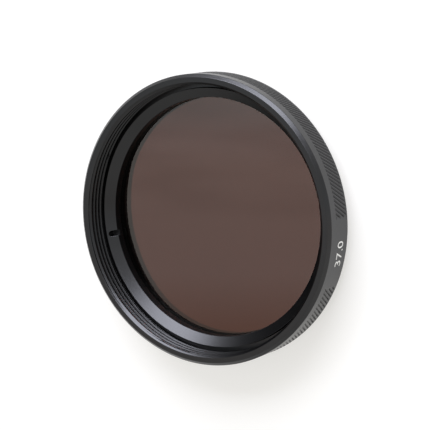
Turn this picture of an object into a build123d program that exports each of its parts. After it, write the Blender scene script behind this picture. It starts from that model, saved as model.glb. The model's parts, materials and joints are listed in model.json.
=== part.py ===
from build123d import *
import os
from math import copysign, cos, degrees, floor, pi, radians, sqrt, tan

# Screw-in lens filter: a turned rim, a pane of dark glass and the ring that holds it.
# It lies on its rear end at z = 0, with the optical axis along +Z and the front, which
# takes the next filter or a hood, at the top. All sizes are in millimetres.

os.makedirs("parts", exist_ok=True)

# Filter thread: one metric size, cut inside the front of the rim and outside its rear collar
thread_diameter = 37.0
thread_pitch = 0.75
thread_angle = 60.0
thread_overcut = 0.05

# Rim
rim_wall = 1.0
knurl_height = 3.07
land_height = 1.29
front_chamfer = 0.44
front_thread_length = 2.85
front_entry_chamfer = 0.3
front_undercut_height = 0.55
front_undercut_depth = 0.3

# Knurl: V grooves that lean to one side, cut through at the shoulder, with one plain field
knurl_pitch = 0.567
knurl_lean = 30.0
knurl_depth = 0.18
groove_width = 0.4
groove_overcut = 0.05
plain_field_width = 9.6
plain_field_bearing = -90.0

# Rear collar
rear_thread_length = 2.0
rear_lead_chamfer = 0.35
rear_thread_gap = 0.14
collar_wall = 1.0

# Lip that the glass lies on
lip_thickness = 0.55
lip_width = 1.44

# Glass
glass_thickness = 1.5
glass_clearance = 0.1

# Retaining ring
ring_clearance = 0.04
ring_width = 1.29
ring_inner_height = 1.15
ring_cone_rise = 0.88
notch_count = 2
notch_width = 0.8
notch_depth = 0.45
notch_wall = 0.2
notch_angle = 111.0

# Radii; an inner crest stands five eighths of the sharp thread triangle in from the thread radius
thread_radius = thread_diameter / 2
thread_triangle = sqrt(3) / 2 * thread_pitch
inner_crest_radius = thread_radius - 5 / 8 * thread_triangle
rim_radius = thread_radius + rim_wall
seat_radius = thread_radius - collar_wall
aperture_radius = seat_radius - lip_width
glass_radius = seat_radius - glass_clearance
ring_outer_radius = seat_radius - ring_clearance
ring_inner_radius = ring_outer_radius - ring_width

# Heights above the rear end
shoulder_z = rear_thread_length
knurl_top_z = shoulder_z + knurl_height
land_top_z = knurl_top_z + land_height
front_z = land_top_z + front_chamfer
front_thread_end_z = front_z - front_thread_length
front_step_z = front_thread_end_z - front_undercut_height
glass_front_z = lip_thickness + glass_thickness
ring_inner_edge_z = glass_front_z + ring_inner_height
ring_outer_edge_z = ring_inner_edge_z + ring_cone_rise
notch_floor_z = ring_inner_edge_z - notch_depth

# Thread grooves: the front one starts at the undercut, the rear one at the rear end
thread_half_mouth = (thread_radius - inner_crest_radius) * tan(radians(thread_angle / 2))
front_groove_top_z = front_z - front_entry_chamfer - thread_half_mouth
front_groove_turns = floor((front_groove_top_z - front_thread_end_z) / thread_pitch)
rear_groove_top_z = shoulder_z - rear_thread_gap - thread_half_mouth
rear_groove_turns = (rear_groove_top_z + thread_half_mouth) / thread_pitch

# Knurl pattern around the rim
groove_count = round(2 * pi * rim_radius / knurl_pitch)
groove_slope = tan(radians(knurl_lean))
groove_start_z = shoulder_z - groove_overcut
groove_rise = knurl_top_z - groove_start_z
groove_start_y = groove_slope * (groove_start_z - (shoulder_z + knurl_top_z) / 2)
mouth_radius = rim_radius + groove_overcut
mouth_half_width = groove_width / 2 * (knurl_depth + groove_overcut) / knurl_depth
plain_field_angle = degrees(plain_field_width / rim_radius)


def thread_groove(crest_radius, root_radius, top_z, turns):
    """The V groove of a right-hand thread, sharp at the root and open past the crest."""
    start_z = top_z - turns * thread_pitch
    open_radius = crest_radius - copysign(thread_overcut, root_radius - crest_radius)
    half_open = abs(root_radius - open_radius) * tan(radians(thread_angle / 2))
    with BuildPart() as groove:
        with BuildLine():
            path = Helix(thread_pitch, turns * thread_pitch, crest_radius, center=(0, 0, start_z))
        with BuildSketch(Plane.XZ):
            with BuildLine():
                Polyline(
                    (root_radius, start_z),
                    (open_radius, start_z - half_open),
                    (open_radius, start_z + half_open),
                    close=True,
                )
            make_face()
        sweep(path=path, is_frenet=True)
    return groove.part


# One knurl groove: a V carried up along the lean, with its middle on the +X side of the rim
with BuildPart() as knurl_groove:
    with BuildSketch(Plane.XY.offset(groove_start_z)):
        with BuildLine():
            Polyline(
                (rim_radius - knurl_depth, groove_start_y),
                (mouth_radius, groove_start_y - mouth_half_width),
                (mouth_radius, groove_start_y + mouth_half_width),
                close=True,
            )
        make_face()
    extrude(amount=groove_rise / cos(radians(knurl_lean)), dir=(0, groove_slope, 1))

# The whole knurl: grooves all the way round, cut off square at both ends of the plain field
with BuildPart() as knurl:
    with PolarLocations(0, groove_count):
        add(knurl_groove.part)
    with BuildSketch(Plane.XY.offset(groove_start_z)):
        with BuildLine():
            field_side = 2 * mouth_radius
            first_side = PolarLine((0, 0), field_side, plain_field_bearing - plain_field_angle / 2)
            last_side = PolarLine((0, 0), field_side, plain_field_bearing + plain_field_angle / 2)
            Line(first_side @ 1, last_side @ 1)
        make_face()
    extrude(amount=groove_rise, mode=Mode.SUBTRACT)


# Rim: one turned profile, with both threads and the knurl cut into it
with BuildPart() as frame_ring:
    with BuildSketch(Plane.XZ):
        with BuildLine():
            Polyline(
                (aperture_radius, 0),
                (thread_radius - rear_lead_chamfer, 0),
                (thread_radius, rear_lead_chamfer),
                (thread_radius, shoulder_z),
                (rim_radius, shoulder_z),
                (rim_radius, land_top_z),
                (rim_radius - front_chamfer, front_z),
                (inner_crest_radius + front_entry_chamfer, front_z),
                (inner_crest_radius, front_z - front_entry_chamfer),
                (inner_crest_radius, front_thread_end_z),
                (inner_crest_radius + front_undercut_depth, front_step_z),
                (seat_radius, front_step_z),
                (seat_radius, lip_thickness),
                (aperture_radius, lip_thickness),
                close=True,
            )
        make_face()
    revolve(axis=Axis.Z)
    front_groove = thread_groove(inner_crest_radius, thread_radius, front_groove_top_z, front_groove_turns)
    rear_groove = thread_groove(thread_radius, inner_crest_radius, rear_groove_top_z, rear_groove_turns)
    add(front_groove, mode=Mode.SUBTRACT)
    add(rear_groove, mode=Mode.SUBTRACT)
    add(knurl.part, mode=Mode.SUBTRACT)
frame_ring.part.label = "frame_ring"
export_step(frame_ring.part, "parts/frame_ring.step")


# Glass: a flat round pane, resting on the lip
with BuildPart() as filter_glass:
    with BuildSketch(Plane.XY.offset(lip_thickness)):
        Circle(glass_radius)
    extrude(amount=glass_thickness)
filter_glass.part.label = "filter_glass"
export_step(filter_glass.part, "parts/filter_glass.step")


# Retaining ring: a conical face that falls towards the glass, with a spanner notch on each side
with BuildPart() as retaining_ring:
    with BuildSketch(Plane.XZ):
        with BuildLine():
            Polyline(
                (ring_inner_radius, glass_front_z),
                (ring_outer_radius, glass_front_z),
                (ring_outer_radius, ring_outer_edge_z),
                (ring_inner_radius, ring_inner_edge_z),
                close=True,
            )
        make_face()
    revolve(axis=Axis.Z)
    # Each notch has a round outer end, a flat floor and an open inner end
    notch_end_radius = ring_outer_radius - notch_wall - notch_width / 2
    with BuildSketch(Plane.XY.offset(notch_floor_z)):
        with PolarLocations(notch_end_radius, notch_count, start_angle=notch_angle):
            Circle(notch_width / 2)
        with PolarLocations(notch_end_radius - ring_width / 2, notch_count, start_angle=notch_angle):
            Rectangle(ring_width, notch_width)
    extrude(amount=ring_outer_edge_z - notch_floor_z, mode=Mode.SUBTRACT)
retaining_ring.part.label = "retaining_ring"
export_step(retaining_ring.part, "parts/retaining_ring.step")
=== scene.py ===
"""Visual model of the screw-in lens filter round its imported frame, with floor, light and camera."""

import json
import math

import bmesh
import bpy
import numpy as np
from mathutils import Matrix, Quaternion, Vector


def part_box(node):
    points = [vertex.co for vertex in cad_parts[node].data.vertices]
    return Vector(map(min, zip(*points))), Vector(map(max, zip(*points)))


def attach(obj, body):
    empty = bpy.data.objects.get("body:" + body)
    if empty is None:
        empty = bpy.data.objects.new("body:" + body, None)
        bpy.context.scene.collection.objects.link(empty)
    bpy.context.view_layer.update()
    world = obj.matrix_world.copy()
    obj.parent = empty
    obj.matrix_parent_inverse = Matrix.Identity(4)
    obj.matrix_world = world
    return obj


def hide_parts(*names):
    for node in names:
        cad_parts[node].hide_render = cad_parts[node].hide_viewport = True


MM = 0.001

# Frame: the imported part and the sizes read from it
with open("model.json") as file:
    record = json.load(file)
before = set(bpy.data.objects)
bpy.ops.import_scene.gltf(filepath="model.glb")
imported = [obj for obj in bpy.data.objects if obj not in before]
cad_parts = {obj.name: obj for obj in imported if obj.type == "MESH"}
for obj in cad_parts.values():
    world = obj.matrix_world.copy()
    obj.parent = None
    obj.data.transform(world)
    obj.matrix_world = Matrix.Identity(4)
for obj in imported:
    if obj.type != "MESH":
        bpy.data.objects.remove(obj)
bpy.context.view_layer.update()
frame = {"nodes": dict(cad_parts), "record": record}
mounts = {mount["name"]: mount for mount in frame["record"]["mounts"]}
rim_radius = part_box("frame_ring")[1][0]
front_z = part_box("frame_ring")[1][2]
glass_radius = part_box("filter_glass")[1][0]
glass_back_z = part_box("filter_glass")[0][2]
glass_front_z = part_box("filter_glass")[1][2]
thread_radius = mounts["rear_thread"]["dims"]["r_mm"] * MM
front_crest_radius = mounts["front_thread"]["dims"]["r_mm"] * MM

# Rim and retaining ring, as in the solids
front_chamfer = 0.44 * MM
front_entry_chamfer = 0.3 * MM
front_thread_length = 2.85 * MM
front_undercut_height = 0.55 * MM
front_undercut_depth = 0.3 * MM
rear_thread_length = 2.0 * MM
rear_lead_chamfer = 0.35 * MM
rear_thread_gap = 0.14 * MM
collar_wall = 1.0 * MM
lip_width = 1.44 * MM
ring_clearance = 0.04 * MM
ring_width = 1.29 * MM
seat_radius = thread_radius - collar_wall
aperture_radius = seat_radius - lip_width
ring_inner_radius = seat_radius - ring_clearance - ring_width

# Knurl: V grooves that lean to one side and run out above a plain rear edge, with one plain field.
# Along each groove's pitch, the shares say where its profile has points and the depths how deep they
# lie, as a share of the knurl's depth. At the field the grooves end over a share of the pitch.
knurl_height = 3.07 * MM
knurl_edge = 0.2 * MM
knurl_runout = 0.35 * MM
knurl_pitch = 0.567 * MM
knurl_depth = 0.18 * MM
knurl_lean = math.radians(30)
knurl_shares = (-0.385, -0.33, -0.03, 0.03, 0.33, 0.385)
knurl_depths = (0.0, 0.06, 1.0, 1.0, 0.06, 0.0)
knurl_rows = 25
# Painted shade at the bottom of each knurl groove, as a share of the full dark tone
knurl_painted_shade = 0.4
plain_field_width = 9.6 * MM
plain_field_bearing = math.radians(-90)
plain_field_fade = 0.1

# Heights on the rim
shoulder_z = rear_thread_length
knurl_foot_z = shoulder_z + knurl_edge
knurl_top_z = shoulder_z + knurl_height
knurl_middle_z = (shoulder_z + knurl_top_z) / 2
land_top_z = front_z - front_chamfer
front_thread_end_z = front_z - front_thread_length
front_step_z = front_thread_end_z - front_undercut_height

# Number on the plain field: a layer of ink up to the solid's surface. The rim's own outside lies a
# little deeper, which leaves room for it. The text is made flat, at a size and depth of its own, and
# the cuts let it bend round the rim.
number_text = "37.0"
number_height = 1.45 * MM
number_rise = 0.29 * MM
number_z = knurl_middle_z + number_rise
number_cuts = 40
text_curve_steps = 4
text_half_depth = 0.02
text_merge_distance = 1e-5
ink_thickness = 0.004 * MM
ink_room = 0.006 * MM
land_radius = rim_radius - ink_room

# Threads: V grooves with a narrow flat at the root, at the heights of the solid's grooves. Flats,
# rounds and the groove's middle are shares of the pitch. Each thread's rows start some turns, its
# lead, above the front groove's top or the rear end. Each reach gives the first and the last turn of
# the groove, counted down from that start, and the fade is the part of a turn it takes to run in and
# out. The front run-out gives the depths below the front face between which the groove deepens.
thread_pitch = 0.75 * MM
thread_angle = math.radians(60)
thread_half_mouth = (thread_radius - front_crest_radius) * math.tan(thread_angle / 2)
crest_flat = 1 - 2 * thread_half_mouth / thread_pitch
root_flat = 0.05
groove_middle = 0.5
thread_round = 0.06
thread_round_steps = 2
thread_fade = 0.06
front_groove_top_z = front_z - front_entry_chamfer - thread_half_mouth
front_thread_lead = 1.5
front_thread_start_z = front_groove_top_z + front_thread_lead * thread_pitch
front_thread_turns = 7
front_thread_reach = (0.0, 4.0)
front_runout = (0.14 * MM, 0.35 * MM)
rear_groove_top_z = shoulder_z - rear_thread_gap - thread_half_mouth
rear_thread_lead = 3.5
rear_thread_start_z = rear_thread_lead * thread_pitch - thread_half_mouth
rear_thread_turns = 5
rear_thread_first = (rear_thread_start_z - rear_groove_top_z) / thread_pitch - groove_middle
rear_thread_reach = (rear_thread_first, rear_thread_turns)

# Meshes: columns round the axis, broken edges, and the angles that tell flat, smooth and sharp apart.
# A round takes at most a share of each side, and a point beyond it holds the side's shading.
column_count = 288
edge_break = 0.05 * MM
edge_steps = 4
ring_edge_break = 0.04 * MM
round_side_share = 0.3
round_hold_share = 0.25
merge_distance = 1e-7
flat_angle = math.radians(0.5)
sharp_angle = math.radians(30)
smooth_angle = math.radians(35)
ring_smooth_angle = math.radians(12)
back_facing = -0.99

# Camera, as fitted to the photograph: the filter's axis leans from the view by the tilt,
# towards a bearing on the floor, and the picture is turned by the roll
camera_tilt = math.radians(33.129)
camera_roll = math.radians(14.154)
camera_bearing = math.radians(-64.5)
camera_distance = 219.8 * MM
camera_aim_offset = (1.789 * MM, 0.792 * MM)
camera_lens = 139.0
camera_sensor = 36.0
camera_clip = (0.01, 20)

# Anodised aluminium: a fine grain, and clouds of colour and gloss. Each noise is a scale and a detail.
metal_colour = (0.060, 0.060, 0.061)
metal_tones = (0.9, 1.1)
metal_roughness = (0.25, 0.37)
metal_specular = 0.1
metal_cloud = (160, 4)
grain_noise = (9000, 3)
grain_strength = 0.12
grain_depth = 0.01 * MM

# Glass: how much light the pane lets through, from and to, the tint of its front's mirror image, and
# the mirror colours of the coating behind it, from and to, as seen from behind and through the pane.
# The index is higher than real glass has, so that the coating looks as near as in the photograph.
glass_index = 2.5
glass_tone = ((0.345, 0.345, 0.345), (0.355, 0.355, 0.355))
glass_roughness = 0.02
glass_cloud = (60, 1)
front_tint = (0.442, 0.412, 0.382)
coating_outside = ((0.222, 0.122, 0.097), (0.233, 0.128, 0.102))
coating_inside = ((0.259, 0.0945, 0.0680), (0.272, 0.0990, 0.0712))
coating_roughness = 0.03

# Ink
ink_tone = ((0.66, 0.66, 0.63), (0.86, 0.86, 0.83))
ink_cloud = (3000, 2)
ink_roughness = 0.6

# Floor
floor_z = -0.02 * MM
floor_half_width = 3.0
floor_colour = (0.46, 0.457, 0.44)
floor_glow = (1.0, 0.985, 0.955)
floor_glow_strength = 0.58
floor_roughness = 0.8

# Room: the walls' tints across the mirror image in the glass, from border to border, and the streaks
# above its middle, with their density along and across, and the wall strength they run through
tint_borders = (-0.2, 0.2)
wall_tints = (
    (0.0, (0.94, 0.93, 0.91)),
    (0.32, (0.77, 0.61, 0.54)),
    (0.41, (0.97, 0.95, 0.95)),
    (0.57, (1.0, 1.0, 1.0)),
    (0.62, (1.06, 1.11, 1.15)),
    (0.66, (0.90, 1.09, 1.17)),
    (1.0, (1.0, 1.0, 1.0)),
)
streak_density = (9, 45)
streak_noise = (0.3, 0.55)
streak_strength = (0.8, 1.04)
streak_borders = (-0.02, 0.03)
backdrop_strength = 0.9


def new_object(name, data):
    """A new object with the given data, linked into the scene."""
    made = bpy.data.objects.new(name, data)
    bpy.context.scene.collection.objects.link(made)
    return made


def add_mesh(name, vertices, faces):
    """A new mesh object from points and faces."""
    mesh = bpy.data.meshes.new(name)
    mesh.from_pydata(vertices, [], faces)
    mesh.validate()
    return new_object(name, mesh)


def add_worked(name, work):
    """A new mesh object from a finished bmesh, which is freed."""
    mesh = bpy.data.meshes.new(name)
    work.to_mesh(mesh)
    work.free()
    return new_object(name, mesh)


class Shell:
    """Collects rows of points round the axis and the faces between them."""

    def __init__(self):
        self.vertices = []
        self.faces = []
        self.painted_shades = []

    def add_row(self, radius, height, angles, painted_shade=0.0):
        """Adds one closed row, with painted shade from 0 to 1 in its hollows, and returns its first
        index.
        """
        start = len(self.vertices)
        radius = np.broadcast_to(radius, angles.shape)
        height = np.broadcast_to(height, angles.shape)
        points = np.stack([radius * np.cos(angles), radius * np.sin(angles), height], axis=1)
        self.vertices.extend(points.tolist())
        self.painted_shades.extend(np.broadcast_to(painted_shade, angles.shape).tolist())
        return start

    def join_rows(self, first, second, columns):
        """Quads between two closed rows with the same angles."""
        for i in range(columns):
            j = (i + 1) % columns
            self.faces.append((first + i, first + j, second + j, second + i))

    def bridge_rows(self, first, first_angles, second, second_angles):
        """Triangles between two closed rows, the second one with evenly spaced points."""
        turn = 2 * math.pi
        many, few = len(first_angles), len(second_angles)
        apart = (second_angles - first_angles[0] + math.pi) % turn - math.pi
        shift = int(np.argmin(np.abs(apart)))
        i = j = 0
        while i < many or j < few:
            ahead = (first_angles[i + 1] if i + 1 < many else first_angles[0] + turn) - first_angles[0]
            here, there = first + i % many, second + (shift + j) % few
            if i < many and ahead <= (j + 1) * turn / few:
                self.faces.append((here, first + (i + 1) % many, there))
                i += 1
            else:
                self.faces.append((here, second + (shift + j + 1) % few, there))
                j += 1

    def add_profile(self, points, angles):
        """A turned surface through (radius, height) points; returns its first and last rows."""
        rows = [self.add_row(radius, height, angles) for radius, height in points]
        for first, second in zip(rows, rows[1:]):
            self.join_rows(first, second, len(angles))
        return rows[0], rows[-1]

    def add_rounded(self, points, angles):
        """A turned surface with the corners between its ends broken; returns the end rows."""
        return self.add_profile(rounded(points, edge_break, edge_steps), angles)

    def add_cap(self, row, height, columns):
        """Closes a row with a fan of triangles round a point on the axis."""
        centre = len(self.vertices)
        self.vertices.append((0.0, 0.0, height))
        self.painted_shades.append(0.0)
        for i in range(columns):
            self.faces.append((centre, row + i, row + (i + 1) % columns))

    def add_thread(self, crest_radius, root_radius, start_z, turns, reach, clip, angles):
        """A right-hand thread: rows that follow the helix down from start_z.

        The groove fades in and out at the two turns in reach, and clip takes radius and height
        arrays and returns them held inside the thread's ends.
        """
        rows = []
        profile = thread_profile()
        for turn in range(turns):
            down = turn - angles / (2 * math.pi)
            fade_in = np.clip((down - reach[0]) / thread_fade, 0, 1)
            fade_out = np.clip((reach[1] - down) / thread_fade, 0, 1)
            for share, depth in profile:
                radius = crest_radius + depth * (root_radius - crest_radius) * fade_in * fade_out
                height = start_z - (down + share) * thread_pitch
                rows.append(self.add_row(*clip(radius, height), angles))
        # After one turn, the end of each row meets the start of the row one pitch above it
        per_turn = len(profile)
        last = len(angles) - 1
        for k in range(len(rows) - 1):
            for i in range(last):
                self.faces.append((rows[k] + i, rows[k] + i + 1, rows[k + 1] + i + 1, rows[k + 1] + i))
            above, above_next = max(k - per_turn, 0), max(k + 1 - per_turn, 0)
            self.faces.append((rows[k] + last, rows[above], rows[above_next], rows[k + 1] + last))


def rounded(points, radius, steps):
    """Puts a small round at each corner of a profile, held by a point on either side."""
    points = [np.array(point, dtype=float) for point in points]
    made = [points[0]]
    for before, corner, after in zip(points, points[1:], points[2:]):
        back, ahead = before - corner, after - corner
        back_length, ahead_length = np.linalg.norm(back), np.linalg.norm(ahead)
        reach = min(radius, round_side_share * back_length, round_side_share * ahead_length)
        start = corner + back / back_length * reach
        end = corner + ahead / ahead_length * reach
        made.append(start + (start - corner) * round_hold_share)
        for share in np.linspace(0, 1, steps + 1):
            made.append((1 - share) ** 2 * start + 2 * share * (1 - share) * corner + share**2 * end)
        made.append(end + (end - corner) * round_hold_share)
    made.append(points[-1])
    return [tuple(point) for point in made]


def even_angles(columns):
    """Angles of evenly spaced columns round the axis."""
    return np.arange(columns) * 2 * math.pi / columns


def thread_profile():
    """One turn as (share of the pitch, share of the depth), crest to crest, with broken edges."""
    crest, root = crest_flat / 2, groove_middle - root_flat / 2
    corners = [(0.0, 0.0), (crest, 0.0), (root, 1.0), (groove_middle, 1.0)]
    down = rounded(corners, thread_round, thread_round_steps)
    up = [(1 - share, depth) for share, depth in reversed(down[1:-1])]
    return down + up


def clip_front(radius, height):
    """Holds the front thread between the entry chamfer, where it runs out, and the undercut."""
    fade = np.clip((front_z - height - front_runout[0]) / (front_runout[1] - front_runout[0]), 0, 1)
    fade = np.where(height <= front_thread_end_z, 0, fade)
    radius = front_crest_radius + (radius - front_crest_radius) * fade
    height = np.clip(height, front_thread_end_z, front_z)
    chamfer_radius = front_crest_radius + front_entry_chamfer - (front_z - height)
    return np.maximum(radius, chamfer_radius), height


def clip_rear(radius, height):
    """Holds the rear thread between the lead chamfer and the shoulder."""
    end_radius = thread_radius - rear_lead_chamfer
    radius = np.where(height <= 0, end_radius, radius)
    height = np.clip(height, 0, shoulder_z)
    return np.minimum(radius, end_radius + height), height


def add_knurl(shell):
    """The knurled band: leaning grooves that run out below and end square above and at the field.

    Returns the plain rows that close the grooves below and above, each with its angles.
    """
    groove_count = round(2 * math.pi * rim_radius / knurl_pitch)
    pitch_angle = 2 * math.pi / groove_count
    base = ((np.arange(groove_count)[:, None] + np.array(knurl_shares)) * pitch_angle).ravel()
    depth = np.tile(np.array(knurl_depths) * knurl_depth, groove_count)
    half_field = plain_field_width / rim_radius / 2
    rows, turns = [], []
    for height in np.linspace(knurl_foot_z, knurl_top_z, knurl_rows):
        angles = base + math.tan(knurl_lean) * (height - knurl_middle_z) / rim_radius
        turns.append(angles)
        off_field = np.abs((angles - plain_field_bearing + math.pi) % (2 * math.pi) - math.pi)
        cut = depth * np.clip((off_field - half_field) / (plain_field_fade * pitch_angle), 0, 1)
        cut = cut * min((height - knurl_foot_z) / knurl_runout, 1)
        # Each row carries painted shade, deepest at the bottom of the groove
        rows.append(shell.add_row(land_radius - cut, height, angles, knurl_painted_shade * cut / knurl_depth))
    rows.append(shell.add_row(land_radius, knurl_top_z, turns[-1]))
    for first, second in zip(rows, rows[1:]):
        shell.join_rows(first, second, len(base))
    return (rows[0], turns[0]), (rows[-1], turns[-1])


def make_rim():
    """The whole rim: threads and knurl in full, and the plain turned faces between them."""
    shell = Shell()
    angles = even_angles(column_count)
    # Land, front chamfer and front face, from the knurl's top to the thread's entry
    land_row, _ = shell.add_rounded(
        [
            (land_radius, knurl_top_z + edge_break),
            (land_radius, land_top_z),
            (rim_radius - front_chamfer, front_z),
            (front_crest_radius + front_entry_chamfer, front_z),
        ],
        angles,
    )
    # Front thread
    shell.add_thread(
        front_crest_radius,
        thread_radius,
        front_thread_start_z,
        front_thread_turns,
        front_thread_reach,
        clip_front,
        angles,
    )
    # Undercut, bore for the ring and the glass, lip and rear end
    shell.add_rounded(
        [
            (front_crest_radius, front_thread_end_z),
            (front_crest_radius + front_undercut_depth, front_step_z),
            (seat_radius, front_step_z),
            (seat_radius, glass_back_z),
            (aperture_radius, glass_back_z),
            (aperture_radius, 0),
            (thread_radius - rear_lead_chamfer, 0),
        ],
        angles,
    )
    # Rear thread
    shell.add_thread(
        thread_radius,
        front_crest_radius,
        rear_thread_start_z,
        rear_thread_turns,
        rear_thread_reach,
        clip_rear,
        angles,
    )
    # Plain edge behind the knurl, and shoulder
    edge_row, _ = shell.add_rounded(
        [
            (land_radius, knurl_foot_z - edge_break),
            (land_radius, shoulder_z),
            (thread_radius, shoulder_z),
        ],
        angles,
    )
    # Knurl, joined to the edge behind it and to the land
    knurl_foot, knurl_head = add_knurl(shell)
    shell.bridge_rows(*knurl_foot, edge_row, angles)
    shell.bridge_rows(*knurl_head, land_row, angles)
    rim = add_mesh("rim", shell.vertices, shell.faces)
    # The rim's painted shade in its knurl grooves, kept on the mesh
    painted_shade = rim.data.attributes.new("painted_shade", "FLOAT", "POINT")
    painted_shade.data.foreach_set("value", shell.painted_shades)
    merge_close(rim)
    smooth_by_angle(rim, smooth_angle)
    return rim


def make_ring():
    """The retaining ring: the solid's own form with its edges broken."""
    solid = frame["nodes"]["retaining_ring"]
    work = bmesh.new()
    work.from_mesh(solid.data)
    bmesh.ops.remove_doubles(work, verts=work.verts, dist=merge_distance)
    bmesh.ops.dissolve_limit(work, angle_limit=flat_angle, verts=work.verts, edges=work.edges)
    bmesh.ops.bevel(
        work,
        geom=[edge for edge in work.edges if edge.calc_face_angle(0) > sharp_angle],
        offset=ring_edge_break,
        offset_type="OFFSET",
        segments=2,
        profile=0.5,
        affect="EDGES",
        clamp_overlap=True,
    )
    bmesh.ops.triangulate(work, faces=[face for face in work.faces if len(face.verts) > 4])
    ring = add_worked("ring", work)
    ring.matrix_world = solid.matrix_world
    smooth_by_angle(ring, ring_smooth_angle)
    return ring


def make_pane():
    """The glass: the solid's own round pane with its edges broken."""
    shell = Shell()
    core_radius = glass_radius / 2
    front_row, back_row = shell.add_rounded(
        [
            (core_radius, glass_front_z),
            (glass_radius, glass_front_z),
            (glass_radius, glass_back_z),
            (core_radius, glass_back_z),
        ],
        even_angles(column_count),
    )
    shell.add_cap(front_row, glass_front_z, column_count)
    shell.add_cap(back_row, glass_back_z, column_count)
    pane = add_mesh("pane", shell.vertices, shell.faces)
    merge_close(pane)
    smooth_by_angle(pane, smooth_angle)
    return pane


def make_number():
    """The size number, printed on the plain field and wrapped round the rim."""
    curve = bpy.data.curves.new("number", "FONT")
    curve.body = number_text
    curve.resolution_u = text_curve_steps
    curve.extrude = text_half_depth
    text = new_object("number_text", curve)
    bpy.context.view_layer.update()
    mesh = bpy.data.meshes.new_from_object(text)
    bpy.data.objects.remove(text)
    work = bmesh.new()
    work.from_mesh(mesh)
    bpy.data.meshes.remove(mesh)
    bmesh.ops.remove_doubles(work, verts=work.verts, dist=text_merge_distance)
    bmesh.ops.recalc_face_normals(work, faces=work.faces)
    low = [min(vert.co[axis] for vert in work.verts) for axis in range(3)]
    high = [max(vert.co[axis] for vert in work.verts) for axis in range(3)]
    scale = number_height / (high[1] - low[1])
    for k in range(1, number_cuts):
        cut = low[0] + (high[0] - low[0]) * k / number_cuts
        geometry = work.verts[:] + work.edges[:] + work.faces[:]
        bmesh.ops.bisect_plane(work, geom=geometry, plane_co=(cut, 0, 0), plane_no=(1, 0, 0))
    for vert in work.verts:
        along = (vert.co[0] - (low[0] + high[0]) / 2) * scale
        angle = plain_field_bearing + along / rim_radius
        height = number_z + (vert.co[1] - (low[1] + high[1]) / 2) * scale
        radius = rim_radius - ink_thickness * (high[2] - vert.co[2]) / (high[2] - low[2])
        vert.co = (radius * math.cos(angle), radius * math.sin(angle), height)
    return add_worked("number", work)


def smooth_by_angle(obj, angle):
    """Shades the mesh smooth, with edges over the angle kept sharp."""
    mesh = obj.data
    mesh.polygons.foreach_set("use_smooth", [True] * len(mesh.polygons))
    mesh.set_sharp_from_angle(angle=angle)


def merge_close(obj):
    """Merges points that lie on each other and drops faces without area."""
    work = bmesh.new()
    work.from_mesh(obj.data)
    bmesh.ops.remove_doubles(work, verts=work.verts, dist=merge_distance)
    bmesh.ops.dissolve_degenerate(work, edges=work.edges, dist=merge_distance)
    bmesh.ops.recalc_face_normals(work, faces=work.faces)
    work.to_mesh(obj.data)
    work.free()


def material(name):
    """A new node material, with its Principled shader and node tree."""
    made = bpy.data.materials.new(name)
    made.use_nodes = True
    return made, made.node_tree, made.node_tree.nodes["Principled BSDF"]


def add_range(nodes, links, value, source, target, interpolation="LINEAR"):
    """A value carried over from one range to another and held inside it."""
    mapped = nodes.new("ShaderNodeMapRange")
    mapped.interpolation_type = interpolation
    mapped.inputs["From Min"].default_value, mapped.inputs["From Max"].default_value = source
    mapped.inputs["To Min"].default_value, mapped.inputs["To Max"].default_value = target
    links.new(value, mapped.inputs["Value"])
    return mapped.outputs["Result"]


def add_noise(nodes, links, scale, detail):
    """Soft noise fixed to the object."""
    place = nodes.new("ShaderNodeTexCoord")
    noise = nodes.new("ShaderNodeTexNoise")
    noise.inputs["Scale"].default_value = scale
    noise.inputs["Detail"].default_value = detail
    links.new(place.outputs["Object"], noise.inputs["Vector"])
    return noise.outputs["Fac"]


def add_tint(nodes, links, noise, low, high):
    """A colour that drifts between two others with the noise."""
    tint = nodes.new("ShaderNodeMixRGB")
    tint.inputs["Color1"].default_value = (*low, 1)
    tint.inputs["Color2"].default_value = (*high, 1)
    links.new(noise, tint.inputs["Fac"])
    return tint.outputs["Color"]


def scaled(colour, tone):
    """A colour made darker or lighter."""
    return [tone * channel for channel in colour]


def painted_groove_shade(nodes, links):
    """Painted shade on the rim, which rises from 0 to the bottom of its knurl grooves."""
    painted_shade = nodes.new("ShaderNodeAttribute")
    painted_shade.attribute_name = "painted_shade"
    return painted_shade.outputs["Fac"]


def black_wall_and_painted_shade(nodes, links):
    """1 on the retaining ring's inner wall, 0 on its face. The wall is made flat black, and this also
    paints the shade that falls in the recess.
    """
    place = nodes.new("ShaderNodeTexCoord")
    flat = nodes.new("ShaderNodeVectorMath")
    flat.operation = "MULTIPLY"
    flat.inputs[1].default_value = (1, 1, 0)
    links.new(place.outputs["Object"], flat.inputs[0])
    reach = nodes.new("ShaderNodeVectorMath")
    reach.operation = "LENGTH"
    links.new(flat.outputs["Vector"], reach.inputs[0])
    wall = (ring_inner_radius + edge_break, ring_inner_radius)
    return add_range(nodes, links, reach.outputs["Value"], wall, (0, 1))


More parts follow.
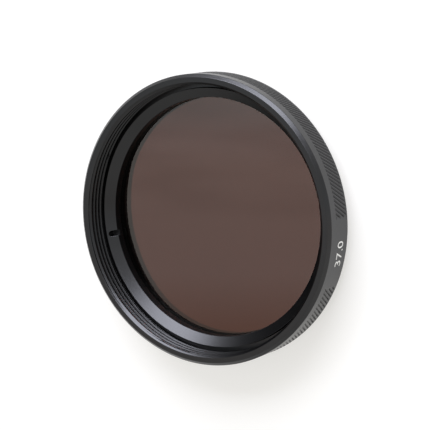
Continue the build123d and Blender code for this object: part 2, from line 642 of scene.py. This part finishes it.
def anodised(name, add_black_and_painted_shade, black_and_painted_shade_tone):
    """Black anodised aluminium: a little grain, uneven gloss, and dull and dark where the given mask
    says: painted shade in the knurl's grooves, flat black and painted shade on the ring's inner wall.
    """
    made, tree, shader = material(name)
    nodes, links = tree.nodes, tree.links
    cloud = add_noise(nodes, links, *metal_cloud)
    tint = add_tint(nodes, links, cloud, *[scaled(metal_colour, tone) for tone in metal_tones])
    black_and_painted_shade = add_black_and_painted_shade(nodes, links)
    painted_shade = nodes.new("ShaderNodeMixRGB")
    painted_shade.inputs["Color2"].default_value = (*scaled(metal_colour, black_and_painted_shade_tone), 1)
    links.new(black_and_painted_shade, painted_shade.inputs["Fac"])
    links.new(tint, painted_shade.inputs["Color1"])
    links.new(painted_shade.outputs["Color"], shader.inputs["Base Color"])
    links.new(add_range(nodes, links, black_and_painted_shade, (0, 1), (1, 0)), shader.inputs["Metallic"])
    links.new(add_range(nodes, links, cloud, (0, 1), metal_roughness), shader.inputs["Roughness"])
    shader.inputs["Specular IOR Level"].default_value = metal_specular
    bump = nodes.new("ShaderNodeBump")
    bump.inputs["Strength"].default_value = grain_strength
    bump.inputs["Distance"].default_value = grain_depth
    links.new(add_noise(nodes, links, *grain_noise), bump.inputs["Height"])
    links.new(bump.outputs["Normal"], shader.inputs["Normal"])
    return made


def clear_glass(name):
    """The pane itself: polished neutral glass with a faint grey mirror image."""
    made, tree, shader = material(name)
    nodes, links = tree.nodes, tree.links
    cloud = add_noise(nodes, links, *glass_cloud)
    links.new(add_tint(nodes, links, cloud, *glass_tone), shader.inputs["Base Color"])
    shader.inputs["Transmission Weight"].default_value = 1.0
    shader.inputs["IOR"].default_value = glass_index
    shader.inputs["Specular Tint"].default_value = (*front_tint, 1)
    shader.inputs["Roughness"].default_value = glass_roughness
    return made


def mirror_coating(name):
    """The coating behind the pane: a dark mirror, brown from behind and redder through the glass."""
    made, tree, shader = material(name)
    nodes, links = tree.nodes, tree.links
    cloud = add_noise(nodes, links, *glass_cloud)
    face = nodes.new("ShaderNodeNewGeometry")
    colour = nodes.new("ShaderNodeMixRGB")
    links.new(face.outputs["Backfacing"], colour.inputs["Fac"])
    links.new(add_tint(nodes, links, cloud, *coating_outside), colour.inputs["Color1"])
    links.new(add_tint(nodes, links, cloud, *coating_inside), colour.inputs["Color2"])
    links.new(colour.outputs["Color"], shader.inputs["Base Color"])
    shader.inputs["Metallic"].default_value = 1.0
    shader.inputs["Roughness"].default_value = coating_roughness
    return made


def white_print(name):
    """White printing ink, a little uneven."""
    made, tree, shader = material(name)
    nodes, links = tree.nodes, tree.links
    cloud = add_noise(nodes, links, *ink_cloud)
    links.new(add_tint(nodes, links, cloud, *ink_tone), shader.inputs["Base Color"])
    shader.inputs["Roughness"].default_value = ink_roughness
    return made


def floor_paint(name):
    """Plain pale studio floor with a glow of its own, clear from below."""
    made, tree, shader = material(name)
    nodes, links = tree.nodes, tree.links
    shader.inputs["Base Color"].default_value = (*floor_colour, 1)
    shader.inputs["Roughness"].default_value = floor_roughness
    shader.inputs["Emission Color"].default_value = (*floor_glow, 1)
    shader.inputs["Emission Strength"].default_value = floor_glow_strength
    face = nodes.new("ShaderNodeNewGeometry")
    below = nodes.new("ShaderNodeBsdfTransparent")
    sides = nodes.new("ShaderNodeMixShader")
    links.new(face.outputs["Backfacing"], sides.inputs["Fac"])
    links.new(shader.outputs["BSDF"], sides.inputs[1])
    links.new(below.outputs["BSDF"], sides.inputs[2])
    links.new(sides.outputs["Shader"], nodes["Material Output"].inputs["Surface"])
    return made


def dress(obj, *finishes):
    """Puts materials on an object, in place of any it has."""
    obj.data.materials.clear()
    for finish in finishes:
        obj.data.materials.append(finish)


def make_floor():
    """A wide plain floor under the filter."""
    signs = [(-1, -1), (1, -1), (1, 1), (-1, 1)]
    corners = [(x * floor_half_width, y * floor_half_width, floor_z) for x, y in signs]
    floor = add_mesh("floor", corners, [(0, 1, 2, 3)])
    dress(floor, floor_paint("floor_paint"))


def picture_axes():
    """The picture's right, up and towards-the-camera directions in the part's frame."""
    first = Vector((math.cos(camera_bearing), math.sin(camera_bearing), 0))
    second = Vector((-math.sin(camera_bearing), math.cos(camera_bearing), 0))
    up_axis = Vector((0, 0, 1))
    lean, flat = math.sin(camera_tilt), math.cos(camera_tilt)
    turn, level = math.sin(camera_roll), math.cos(camera_roll)
    right = flat * level * first - turn * second - lean * level * up_axis
    up = flat * turn * first + level * second - lean * turn * up_axis
    towards = lean * first + flat * up_axis
    return right, up, towards


def make_camera():
    """The camera at the photograph's viewing angle."""
    right, up, towards = picture_axes()
    data = bpy.data.cameras.new("camera")
    data.sensor_width = camera_sensor
    data.lens = camera_lens
    data.clip_start, data.clip_end = camera_clip
    camera = new_object("camera", data)
    aim = Vector((0, 0, land_top_z)) + camera_aim_offset[0] * right + camera_aim_offset[1] * up
    place = aim + camera_distance * towards
    turn = Matrix((right, up, towards)).transposed().to_4x4()
    camera.matrix_world = Matrix.Translation(place) @ turn
    bpy.context.scene.camera = camera


def direction(bearing, elevation):
    """The unit direction at a bearing counted from the camera's, and an elevation, in degrees."""
    angle = camera_bearing + math.radians(bearing)
    rise = math.radians(elevation)
    return Vector((math.cos(rise) * math.cos(angle), math.cos(rise) * math.sin(angle), math.sin(rise)))


def add_softbox(name, bearing, elevation, roll, distance, size, power, colour):
    """A rectangular area light that faces the filter, with its bearing counted from the camera's."""
    data = bpy.data.lights.new(name, "AREA")
    data.shape = "RECTANGLE"
    data.size, data.size_y = size
    data.energy = power
    data.color = colour
    lamp = new_object(name, data)
    towards = direction(bearing, elevation)
    lamp.location = towards * distance
    turn = Quaternion((0, 0, 1), math.radians(roll))
    lamp.rotation_euler = (towards.to_track_quat("Z", "Y") @ turn).to_euler()


def facing(nodes, links, axis):
    """How far the seen part of the room's walls lies along an axis."""
    place = nodes.new("ShaderNodeTexCoord")
    along = nodes.new("ShaderNodeVectorMath")
    along.operation = "DOT_PRODUCT"
    along.inputs[1].default_value = axis
    links.new(place.outputs["Generated"], along.inputs[0])
    return along.outputs["Value"]


def add_lobe(nodes, links, bearing, elevation, edge, core, outside, inside):
    """A smooth round patch on the room's walls: its strength runs from outside to inside."""
    off_axis = facing(nodes, links, direction(bearing, elevation))
    edge_to_core = (math.cos(math.radians(edge)), math.cos(math.radians(core)))
    return add_range(nodes, links, off_axis, edge_to_core, (outside, inside), "SMOOTHSTEP")


def add_streaks(nodes, links, across, along):
    """Faint soft streaks on one side of the walls, long in one direction, for the glass to mirror."""
    spot = nodes.new("ShaderNodeCombineXYZ")
    links.new(facing(nodes, links, streak_density[0] * along), spot.inputs["X"])
    links.new(facing(nodes, links, streak_density[1] * across), spot.inputs["Y"])
    noise = nodes.new("ShaderNodeTexNoise")
    noise.inputs["Scale"].default_value = 1
    noise.inputs["Detail"].default_value = 1
    links.new(spot.outputs["Vector"], noise.inputs["Vector"])
    streak = add_range(nodes, links, noise.outputs["Fac"], streak_noise, streak_strength)
    side = add_range(nodes, links, facing(nodes, links, across), streak_borders, (0, 1))
    mixed = nodes.new("ShaderNodeMix")
    mixed.inputs["A"].default_value = 1
    links.new(side, mixed.inputs["Factor"])
    links.new(streak, mixed.inputs["B"])
    return mixed.outputs["Result"]


def add_wall_tint(nodes, links, across):
    """The walls' colour: bands across the mirror image, warm below its middle and cool above."""
    tint = nodes.new("ShaderNodeValToRGB")
    ramp = tint.color_ramp
    while len(ramp.elements) < len(wall_tints):
        ramp.elements.new(0.5)
    for element, (position, colour) in zip(ramp.elements, wall_tints):
        element.position = position
        element.color = (*colour, 1)
    side = add_range(nodes, links, facing(nodes, links, across), tint_borders, (0, 1))
    links.new(side, tint.inputs["Fac"])
    return tint.outputs["Color"]


def join_values(nodes, links, operation, first, second):
    """One value from two, by a math operation."""
    joined = nodes.new("ShaderNodeMath")
    joined.operation = operation
    links.new(first, joined.inputs[0])
    links.new(second, joined.inputs[1])
    return joined.outputs["Value"]


def make_room():
    """A dim room with a dark side, a pale side and a brighter ceiling; the camera sees a backdrop."""
    world = bpy.data.worlds.new("studio")
    bpy.context.scene.world = world
    world.use_nodes = True
    nodes, links = world.node_tree.nodes, world.node_tree.links
    walls = nodes["Background"]
    # The picture's right and up directions as the level glass mirrors them into the room
    along, across = [Vector((axis.x, axis.y, -axis.z)) for axis in picture_axes()[:2]]
    links.new(add_wall_tint(nodes, links, across), walls.inputs["Color"])
    dark_side = add_lobe(
        nodes, links, bearing=150, elevation=10, edge=46, core=20, outside=0.56, inside=0.03
    )
    pale_side = add_lobe(nodes, links, bearing=-40, elevation=5, edge=50, core=15, outside=0, inside=0.25)
    ceiling = add_lobe(nodes, links, bearing=180, elevation=50, edge=55, core=20, outside=0, inside=0.15)
    strength = join_values(nodes, links, "ADD", dark_side, pale_side)
    strength = join_values(nodes, links, "ADD", strength, ceiling)
    streaks = add_streaks(nodes, links, across, along)
    links.new(join_values(nodes, links, "MULTIPLY", strength, streaks), walls.inputs["Strength"])
    backdrop = nodes.new("ShaderNodeBackground")
    backdrop.inputs["Color"].default_value = (1, 1, 1, 1)
    backdrop.inputs["Strength"].default_value = backdrop_strength
    seen = nodes.new("ShaderNodeLightPath")
    chosen = nodes.new("ShaderNodeMixShader")
    links.new(seen.outputs["Is Camera Ray"], chosen.inputs["Fac"])
    links.new(walls.outputs["Background"], chosen.inputs[1])
    links.new(backdrop.outputs["Background"], chosen.inputs[2])
    links.new(chosen.outputs["Shader"], nodes["World Output"].inputs["Surface"])


def make_light():
    """Soft studio light: one large box beyond the filter's upper right, and the dim room."""
    add_softbox(
        "key",
        bearing=74,
        elevation=33,
        roll=5,
        distance=0.5,
        size=(0.5, 0.38),
        power=4.4,
        colour=(0.86, 0.88, 1.0),
    )
    make_room()
    settings = bpy.context.scene.view_settings
    settings.view_transform = "Standard"
    settings.look = "None"


def main():
    """Makes and dresses the four pieces, then the floor, the light and the camera."""
    rim = make_rim()
    # The rim's knurl grooves get painted shade
    dress(rim, anodised("anodised_rim", painted_groove_shade, black_and_painted_shade_tone=0.15))
    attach(rim, "root")
    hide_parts("frame_ring")
    number = make_number()
    dress(number, white_print("white_print"))
    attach(number, "root")
    ring = make_ring()
    # The ring's inner wall gets flat black and painted shade
    dress(ring, anodised("anodised_ring", black_wall_and_painted_shade, black_and_painted_shade_tone=0.05))
    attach(ring, "root")
    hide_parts("retaining_ring")
    pane = make_pane()
    dress(pane, clear_glass("clear_glass"), mirror_coating("mirror_coating"))
    for face in pane.data.polygons:
        face.material_index = 1 if face.normal.z < back_facing else 0
    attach(pane, "root")
    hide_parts("filter_glass")
    make_floor()
    make_light()
    make_camera()


main()
